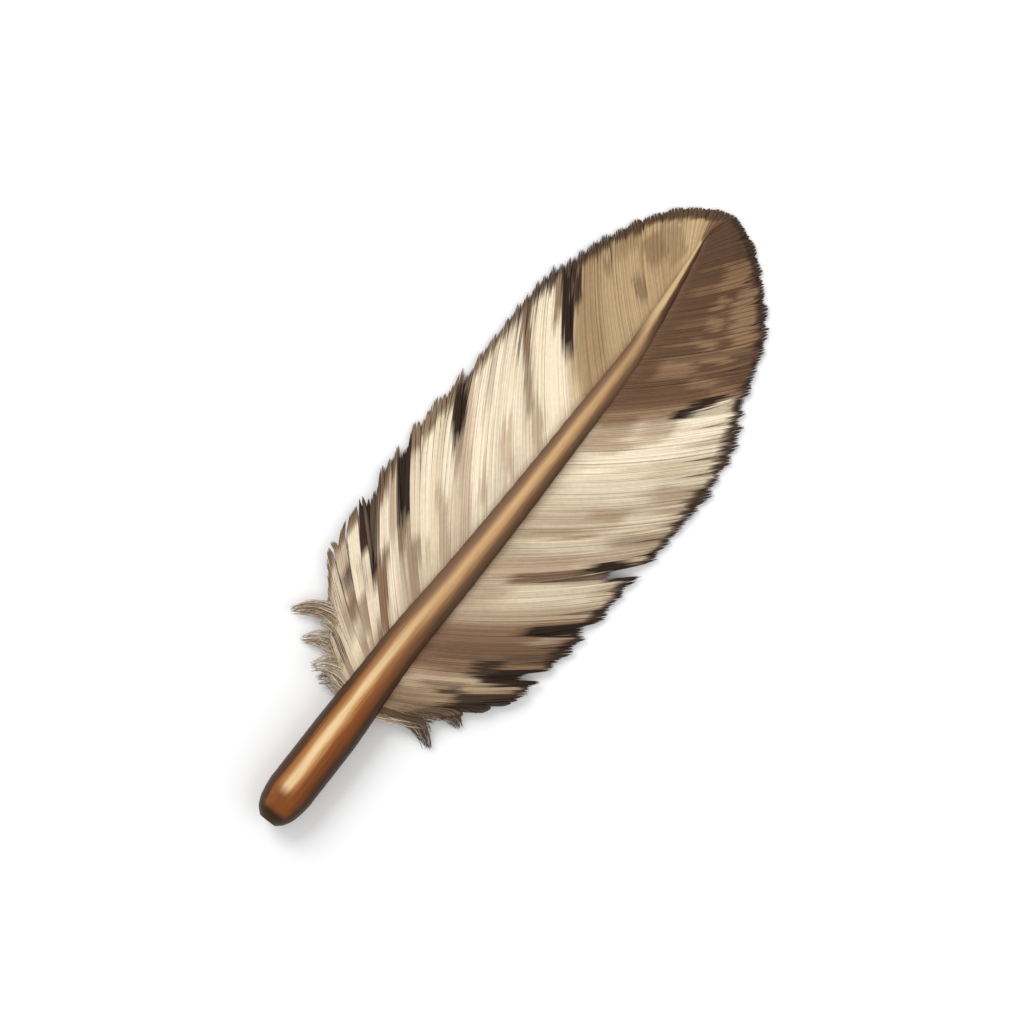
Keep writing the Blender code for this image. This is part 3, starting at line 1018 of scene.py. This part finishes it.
@dataclass
class Down:
    """The loose downy tufts at the foot of the vanes: bundles of fine curling strands."""

    finish: BarbKeratin
    tufts: tuple[Tuft, ...]
    seed: int = 21
    strands: int = 125
    loose_share: float = 0.5
    steps: int = 14
    width: float = 0.34
    ridge_height: float = 0.2
    bundle: float = 1.9
    curl: tuple[float, float, float] = (0.32, 0.32, 0.25)
    droop: float = 0.55
    lowest: float = 0.25

    SECTION = np.array(((0.5, -0.3), (0.0, 0.6), (-0.5, -0.3)))

    def __post_init__(self) -> None:
        """Starts the down's random numbers."""
        self.chance = np.random.default_rng(self.seed)

    def between(self, name: str, at: Array) -> Array:
        """A value of the tufts at whole numbers, and in between for the loose down from one to the next.

        Args:
            name: the value's name.
            at: place among the tufts, one for each strand.

        Returns:
            The value for each strand.
        """
        values = np.array([getattr(tuft, name) for tuft in self.tufts], float)
        low = np.minimum(at.astype(int), len(values) - 1)
        high = np.minimum(low + 1, len(values) - 1)
        part = (at - low).reshape(-1, *[1] * (values.ndim - 1))
        return values[low] * (1 - part) + values[high] * part

    def places(self) -> tuple[Array, Array]:
        """Which tuft each strand belongs to, or how far it lies on the way to the next on its side.

        Returns:
            The places, and 1 for a loose strand and 0 for one in a tuft.
        """
        at = np.repeat(np.arange(len(self.tufts)), self.strands).astype(float)
        same_side = np.array([a.end[1] * b.end[1] > 0 for a, b in zip(self.tufts, self.tufts[1:])] + [False])
        loose = (self.chance.uniform(0, 1, len(at)) < self.loose_share) & same_side[at.astype(int)]
        return at + loose * self.chance.uniform(0.1, 0.9, len(at)), loose.astype(float)

    def lines(self, at: Array, loose: Array) -> tuple[Array, Array]:
        """Strands round each tuft's own bowed line: they spread over its width, narrow towards its tip
        and curl, each a little on its own.

        Args:
            at: place among the tufts, one for each strand.
            loose: 1 for a loose strand.

        Returns:
            Points and shares of the tuft's length, by strand and step.
        """
        a, b, c, end_z = (self.between(name, at) for name in ("start", "heading", "end", "end_height"))
        count, chance = len(at), self.chance
        start_z = SHAFT.at(a[:, 0], UNDERSIDE) + SHAFT.at(a[:, 0], DEPTH) * 0.5
        a = np.column_stack((a, start_z))
        b = np.column_stack((b, start_z + (end_z - start_z) * self.droop))
        c = np.column_stack((c, end_z))
        reach = 1.03 - 0.42 * chance.uniform(0, 1, count) ** 1.8 - 0.25 * loose
        t = np.linspace(0.12, 1, self.steps)[None, :, None] * reach[:, None, None]
        lines = (1 - t) ** 2 * a[:, None] + 2 * t * (1 - t) * b[:, None] + t**2 * c[:, None]
        around, out = chance.uniform(0, 2 * math.pi, count), np.sqrt(chance.uniform(0, 1, count))
        flat = unit(np.cross(UP, np.gradient(lines, axis=1)))
        bundle = self.bundle * np.sin(math.pi * np.clip(t, 0, 1) ** 0.8) ** 0.8 + 1.0
        lines = lines + flat * bundle * (out * np.cos(around))[:, None, None]
        lines[..., 2] += 0.4 * bundle[..., 0] * (out * np.sin(around))[:, None]
        phase, pace = chance.uniform(0, 2 * math.pi, (count, 1, 3)), chance.uniform(6, 13, (count, 1, 1))
        lines += np.sin(t * pace + phase) * t * np.array(self.curl)
        lines[..., 2] = np.maximum(lines[..., 2], self.lowest)
        return lines, t[..., 0]

    def build(self, body: str) -> bpy.types.Object:
        """Makes the down.

        Args:
            body: the body that the down rides on.

        Returns:
            The finished piece.
        """
        at, loose = self.places()
        lines, share = self.lines(at, loose)
        across = unit(np.cross(UP, np.gradient(lines, axis=1))) * self.width
        thin = np.linspace(1.0, 0.3, self.steps)[None] + 0 * share
        rings = sweep(lines, across, self.SECTION, thin, self.ridge_height * thin)
        chances = self.chance.uniform(0, 1, len(at))
        own = chances[:, None]
        brown, dark = (self.between(name, at)[:, None] for name in ("brown", "dark"))
        late = ease(0.5, 1.0, share + 0.3 * (own - 0.5))
        pale = 0.9 * (own < 0.4) * (1 - 0.6 * late)
        streaky = 0.7 * (own > 0.75) + 0 * share
        tones = np.stack((pale, streaky, brown * late * (own > 0.25), dark * late), -1)
        piece = strand_piece("down", rings, self.SECTION, 0 * chances, share, chances, tones)
        piece.data.materials.append(self.finish.material())
        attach(piece, body)
        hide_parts("feather")
        return piece


# Floor, camera and light
@dataclass
class Studio:
    """A white board, soft light from the picture's upper left, and a camera that looks straight down."""

    floor: PlainPaper
    pixel: float = 0.235  # real size of a photo pixel in millimetres
    turn: float = 52.0  # degrees from the picture's right to the feather's length
    quill_end: Range = (287.0, 812.0)  # photo pixel on the tables' straight line
    quill_offset: float = 18.0  # pixels from the quill's blunt end to it
    frame_size: float = 1024.0  # pixels
    aim_height: float = 4.0  # millimetres, about the height of the shaft's underside
    sensor: float = 36.0  # millimetres
    distance: float = 1.5  # metres, and so is half_board
    half_board: float = 1.5
    world_light: float = 0.62

    def build(self) -> None:
        """Makes the floor, the camera, the lights and the world."""
        self.make_floor()
        self.make_camera()
        self.make_light("key_light", (-0.45, 0.55, 0.75), 0.5, 5.0)
        self.make_light("fill_light", (0.6, -0.3, 0.8), 0.8, 2.2)
        world = bpy.data.worlds.new("studio")
        world.use_nodes = True
        background = world.node_tree.nodes["Background"]
        set_inputs(world.node_tree, background, Color=linear("FFFFFF"), Strength=self.world_light)
        bpy.context.scene.world = world
        bpy.context.scene.view_settings.view_transform = "Standard"

    def make_floor(self) -> None:
        """A flat board of one face under the feather."""
        mesh = bpy.data.meshes.new("board")
        half = self.half_board
        corners = [(-half, -half, 0), (half, -half, 0), (half, half, 0), (-half, half, 0)]
        mesh.from_pydata(corners, [], [(0, 1, 2, 3)])
        board = bpy.data.objects.new("board", mesh)
        bpy.context.scene.collection.objects.link(board)
        mesh.materials.append(self.floor.material())

    def picture_axes(self) -> tuple[Vector, Vector]:
        """The picture's right and up directions in the row's frame."""
        c, s = math.cos(math.radians(self.turn)), math.sin(math.radians(self.turn))
        return Vector((c, -s, 0)), Vector((s, c, 0))

    def make_camera(self) -> None:
        """Looks straight down at the photo's middle, turned as the feather lies in the photo."""
        c, s = math.cos(math.radians(self.turn)), math.sin(math.radians(self.turn))
        dx, dy = (self.frame_size / 2 - v for v in self.quill_end)
        x = (dx * c - dy * s + self.quill_offset) * self.pixel
        y = (-dx * s - dy * c) * self.pixel
        aim = Vector(row_place(np.array((x, y, self.aim_height))))
        right, up = self.picture_axes()
        data = bpy.data.cameras.new("camera")
        data.sensor_width = self.sensor
        data.lens = self.sensor * self.distance / (self.frame_size * self.pixel * MM)
        camera = bpy.data.objects.new("camera", data)
        back = right.cross(up)
        facing = Matrix((right, up, back)).transposed().to_4x4()
        camera.matrix_world = Matrix.Translation(aim + back * self.distance) @ facing
        bpy.context.scene.collection.objects.link(camera)
        bpy.context.scene.camera = camera

    def make_light(self, name: str, place: tuple[float, float, float], size: float, power: float) -> None:
        """A square soft light aimed at the feather.

        Args:
            name: the light's name.
            place: metres to the picture's right, to its top and upwards.
            size: the light's side in metres.
            power: in watts.
        """
        right, up = self.picture_axes()
        spot = right * place[0] + up * place[1] + Vector((0, 0, place[2]))
        data = bpy.data.lights.new(name, "AREA")
        data.size, data.energy = size, power
        light = bpy.data.objects.new(name, data)
        light.location = spot
        light.rotation_euler = (-spot).to_track_quat("-Z", "Y").to_euler()
        bpy.context.scene.collection.objects.link(light)


# This feather's own vanes and down
LEFT_VANE = Vane(
    side=Side.LEFT,
    seed=11,
    foot_brown=0.2,
    outline=Smooth((
        (34.5, 41, 16.6), (38.3, 52.4, 25.6), (41.4, 61.5, 31.3), (45.4, 78.4, 32), (56.8, 90.2, 32.4),
        (70.5, 114.2, 31), (95.9, 137.3, 30.6), (118, 149.2, 27.5), (140.5, 161.2, 22.8), (157, 172.3, 16),
        (168, 178.3, 7.6), (172.3, 180, 3),
    )),
    splits={45.4: 0.5, 56.8: 0.5, 70.5: 0.62, 95.9: 0.73, 118.0: 0.5},
    fill_reach={41.767: 0.86, 45.4: 0.93, 56.8: 0.93, 70.5: 0.95},
    finish=BarbKeratin(
        name="barb_keratin_cream_and_tan",
        ground=(
            (34.5, "D6C2A5"), (38, "E4D2B6"), (41, "E2D0B4"), (44, "CCB496"), (48, "C9B095"),
            (51, "EDDDC3"), (54.8, "E8D8BD"), (57, "D6C2A6"), (62, "F3E2C4"), (69, "EBD9BC"),
            (74, "E3CFB2"), (78, "FAECD1"), (108, "FAECD0"), (115, "F4E4C6"), (118.9, "E6D0A8"),
            (121.2, "C0A37E"), (128, "BB9E78"), (134, "C6AB82"), (145, "C7AB82"), (156, "BFA27B"),
            (163, "D0B589"), (166.6, "C8AA80"), (169.2, "8A6A4B"), (172.3, "634731"),
        ),
        streak=(
            (34.5, "9C8468"), (44, "8F745A"), (51, "B59C7E"), (60, "BFA78A"), (72, "C9B498"),
            (90, "DCC9AB"), (112, "C6B091"), (118, "9B7E5C"), (140, "9C7E5A"), (156, "A08360"),
            (168, "6B4D35"), (172.3, "54392A"),
        ),
    ),
    marks={
        # Nearly all the dark marks lie along the splits between locks and paint the shade in them
        DARK: (
            (40.9, 42, 0.62, 0.74, 0, 0.85), (43.4, 44.8, 0.68, 1.02), (44.7, 47.1, 0.6, 1.02, 0, 0.75),
            (44.5, 46.9, 0.49, 0.62), (55.4, 58.6, 0.55, 0.97), (67.8, 71.3, 0.65, 0.99, -6),
            (92, 93.2, 0.72, 0.98, -8, 0.7), (113.6, 118.5, 0.46, 0.93, -4),
            (118, 122.8, 0.69, 0.92, -4, 0.95),
        ),
        BROWN: (
            (36.2, 37.6, 0.15, 0.95, 0, 0.6), (40.2, 41.4, 0.38, 0.62, 4, 0.5),
            (41.4, 42.8, 0.43, 0.58, 3, 0.9), (41.8, 43.5, 0.14, 0.43, 5, 0.45),
            (46.1, 49.9, 0.16, 0.56, 5, 0.9), (47.2, 50.8, 0.84, 1.1, 0, 0.9),
            (50.4, 55, 0.88, 1.1, 0, 0.9), (55, 58.2, 0.41, 0.56, 0, 0.75),
            (57.4, 60.6, 0.12, 0.42, 4, 0.6), (69.5, 72.6, 0.47, 0.68, -5, 0.6),
            (93.4, 97.8, 0.64, 1.05, -11, 0.9), (97.8, 100.8, 0.38, 0.66, -9, 0.65),
            (109.8, 113.5, 0.68, 0.93, -5, 0.85), (115.4, 118.8, 0.41, 0.52, 0, 0.6),
            (143.8, 147.4, 0.28, 0.5, -8, 0.7), (148.6, 154.6, 0.42, 0.76, -8, 0.65),
        ),
        STREAK: (
            (51.4, 55.3, 0.52, 0.86, 0, 0.4), (66, 69, 0.14, 0.5, -5, 0.8),
            (72.2, 76, 0.12, 0.88, -6, 0.75), (80.5, 83.5, 0.14, 0.35, -6, 0.9),
            (80, 83, 0.6, 0.88, -8, 0.5), (88.8, 93, 0.16, 0.46, -8), (101, 105, 0.14, 0.42, -8),
            (109.8, 112.6, 0.48, 0.7, -5, 0.8), (121, 129, 0.16, 0.86, -6, 0.35),
            (132, 136, 0.7, 0.82, 0, 0.8), (137, 146, 0.74, 0.9, 0, 0.6), (155, 161, 0.25, 0.75, -6, 0.5),
        ),
        LIGHT: (
            (39, 41.2, 0.18, 0.38, 5, 0.7), (42.3, 43.5, 0.62, 0.92, 2, 0.85),
            (42.8, 44.5, 0.44, 0.66, 2, 0.85), (43.5, 46.1, 0.18, 0.46, 4, 0.8),
            (47, 51, 0.57, 0.84, 2, 0.85), (50.2, 54, 0.16, 0.52, 4, 0.75), (58.6, 61.1, 0.43, 0.8, 0, 0.4),
            (61.2, 63.9, 0.37, 0.9, 0, 0.9), (66.5, 69.3, 0.45, 0.82, -4, 0.9),
            (76.5, 79.5, 0.3, 0.9, -8, 0.9), (84, 91, 0.46, 0.9, -8, 0.8), (94, 97.5, 0.1, 0.6, -8, 0.9),
            (102, 109.5, 0.4, 0.92, -8), (106.5, 114.5, 0.18, 0.62, -6),
        ),
    },
    edge=Smooth((
        (34.5, 0.88, 0.1, 0.6), (42, 0.87, 0.25, 0.85), (46, 0.89, 0.35, 0.85), (60, 0.87, 0.15, 0.84),
        (80, 0.88, 0.2, 0.86), (98, 0.89, 0.5, 0.9), (106, 0.9, 0.7, 0.9), (130, 0.89, 0.7, 0.9),
        (150, 0.85, 0.68, 0.9), (160, 0.79, 0.65, 0.9), (168, 0.7, 0.65, 0.9), (172.3, 0.64, 0.65, 0.9),
    )),
)

RIGHT_VANE = Vane(
    side=Side.RIGHT,
    seed=12,
    outline=Smooth((
        (34.5, 39, -12.6), (36.5, 43.9, -15.6), (38.3, 57.8, -26.9), (45.4, 66.6, -28.2),
        (56.8, 82.3, -30.6), (70.5, 101.6, -31.8), (91.2, 121.7, -32.8), (104.1, 134.7, -31.3),
        (118, 146.6, -26.2), (135.8, 160.5, -21.2), (150, 169.9, -13.6), (164, 177.2, -4.2),
        (172.3, 180, 3),
    )),
    splits={45.4: 0.5, 56.8: 0.62, 70.5: 0.38, 118.0: 0.5},
    fill_reach={45.4: 0.86, 56.8: 0.93, 70.5: 0.8},
    finish=BarbKeratin(
        name="barb_keratin_beige_and_brown",
        # The darker browns near this vane's foot are partly its own colour and partly painted shade on the
        # side away from the light
        ground=(
            (34.5, "A08265"), (38, "AE9274"), (41.5, "C4AC8E"), (44.5, "CDB497"), (47.5, "A0805F"),
            (51, "94755A"), (56, "8F7057"), (58.5, "9E7F61"), (60.6, "C0A789"), (63, "D6C1A4"),
            (68, "DECBAF"), (72, "CDB599"), (78, "CFB99C"), (84, "DCC9AD"), (91, "D6C1A4"), (97, "E8D7BA"),
            (104, "EFDFC2"), (110, "F2E2C5"), (117.6, "ECDABB"), (118.2, "BDA184"), (120, "AC8E6E"),
            (122.5, "795A41"), (128, "71533C"), (150, "694C36"), (172.3, "644833"),
        ),
        streak=(
            (34.5, "5A402C"), (40, "8C7050"), (45, "AD9274"), (50, "6F533C"), (57, "8A6B50"),
            (62, "C9B396"), (75, "B79D80"), (88, "BCA384"), (106, "D6C3A4"), (114, "BFA587"),
            (119, "8A6B4E"), (124, "9A7A59"), (145, "9E7E5D"), (172.3, "735439"),
        ),
        brown="7E6049",
    ),
    marks={
        # Nearly all the dark marks lie along the splits between locks and paint the shade in them
        DARK: (
            (34.5, 36, 0.2, 1.1, 0, 0.65), (37.6, 39.9, 0.57, 1.1, 0, 0.9),
            (40.1, 41.3, 0.44, 0.62, 0, 0.85), (41.3, 42.4, 0.46, 0.54, 0, 0.5),
            (36.4, 38.2, 0.52, 0.9, 0, 0.5), (42.8, 47.4, 0.62, 1.1, -3), (45.7, 50.1, 0.47, 0.64, -4, 0.9),
            (48.2, 50.8, 0.62, 0.95, 0, 0.4), (56.3, 59.2, 0.56, 1), (69.4, 72.2, 0.66, 1, -18),
            (70.6, 74.8, 0.64, 0.92, -6), (118, 120.4, 0.55, 0.79, 4), (120, 122.8, 0.61, 0.81),
            (161.5, 173, 0.68, 1.1, 0, 0.2),
        ),
        BROWN: (
            (41.6, 43.4, 0.3, 0.56, 0, 0.5), (46.8, 49, 0.12, 0.45, -4, 0.6),
            (50.5, 54, 0.12, 0.92, 0, 0.6), (70.6, 74, 0.28, 0.68, 0, 0.9),
            (124.6, 128.2, 0.3, 0.6, -8, 0.4),
        ),
        STREAK: (
            (38.2, 41, 0.12, 0.36, 0, 0.6), (59.5, 70.5, 0.12, 0.3, 0, 0.7), (74, 79, 0.12, 0.55, -4, 0.5),
            (84.2, 87.4, 0.14, 0.48, -4, 0.9), (89.4, 93, 0.4, 0.62, -6), (79, 84, 0.62, 0.88, -6, 0.7),
            (92.8, 97.8, 0.66, 0.92, -5), (101, 104.5, 0.6, 0.86, -5, 0.6), (109.6, 113.4, 0.12, 0.42, -4),
            (112.6, 118, 0.38, 0.62, -6, 0.6), (113.2, 120, 0.12, 0.35, 0, 0.8),
            (121.6, 125.2, 0.74, 0.9, -6, 0.9), (126, 129, 0.52, 0.72, -8, 0.9),
            (130.6, 135.4, 0.28, 0.52, -4, 0.95), (133, 135.2, 0.58, 0.78, -10, 0.9), (136, 152, 0.7, 0.93),
            (138.2, 141.2, 0.44, 0.58, -14, 0.9), (143.6, 146.6, 0.48, 0.62, -14, 0.9),
            (148.8, 151.6, 0.5, 0.64, -14, 0.9), (153.6, 160.6, 0.55, 0.86, -4),
        ),
        LIGHT: (
            (54, 56.4, 0.7, 0.88, 0, 0.2), (65, 69.6, 0.34, 0.8, -4, 0.4), (80, 83.8, 0.2, 0.6, -5, 0.45),
            (84.4, 90.6, 0.62, 0.86, -5, 0.5), (96, 103, 0.15, 0.6, -5, 0.4), (105, 110.5, 0.21, 0.72, 9),
            (110.5, 118.6, 0.62, 0.93, 4), (117.6, 120.4, 0.8, 0.93, 0, 0.9),
        ),
    },
    edge=Smooth((
        (34.5, 0.9, 0.7, 0.9), (60, 0.89, 0.9, 0.9), (84, 0.9, 0.85, 0.9), (116, 0.915, 0.87, 0.9),
        (136, 0.905, 0.82, 0.9), (150, 0.885, 0.82, 0.9), (164, 0.84, 0.82, 0.9), (172.3, 0.7, 0.78, 0.9),
    )),
)

DOWN = Down(
    finish=BarbKeratin(
        name="barb_keratin_down",
        ground=((34.5, "CFBA9D"), (172.3, "CFBA9D")),
        streak=((34.5, "A48B6E"), (172.3, "A48B6E")),
        light="F0E3CB",
        brown="8F7359",
    ),
    tufts=(
        Tuft((34.5, 3.5), (37.5, 9.5), (33.2, 13.2), 2.2, 0.75, 0.3),
        Tuft((35.5, 3.5), (41, 12), (35, 16.4), 4.4, 0.7, 0),
        Tuft((36.5, 3.5), (46, 15.5), (38.6, 22), 1.4, 0.7, 0),
        Tuft((38, 3.5), (54, 19), (42.9, 28), 2.6, 0.65, 0),
        Tuft((34.5, 1), (39.5, -5.5), (40.2, -13.5), 3.6, 0.8, 0.5),
        Tuft((35.5, 1), (43.5, -9), (36.7, -16.6), 1.3, 0.8, 0.85),
        Tuft((37.5, 1), (48.5, -11.5), (45.2, -19.4), 1.4, 0.8, 0.7),
    ),
)


def main() -> None:
    """Builds the feather's pieces and the studio, and reports each piece."""
    logging.basicConfig(level=logging.INFO, format="%(name)s: %(message)s")
    body = next(iter(frame["bodies"]))
    for builder in (Shaft(finish=ShaftHorn()), LEFT_VANE, RIGHT_VANE, DOWN):
        piece = builder.build(body)
        LOG.info("%s: %d faces", piece.name, len(piece.data.polygons))
    Studio(floor=PlainPaper()).build()
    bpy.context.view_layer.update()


if __name__ == "__main__":
    main()
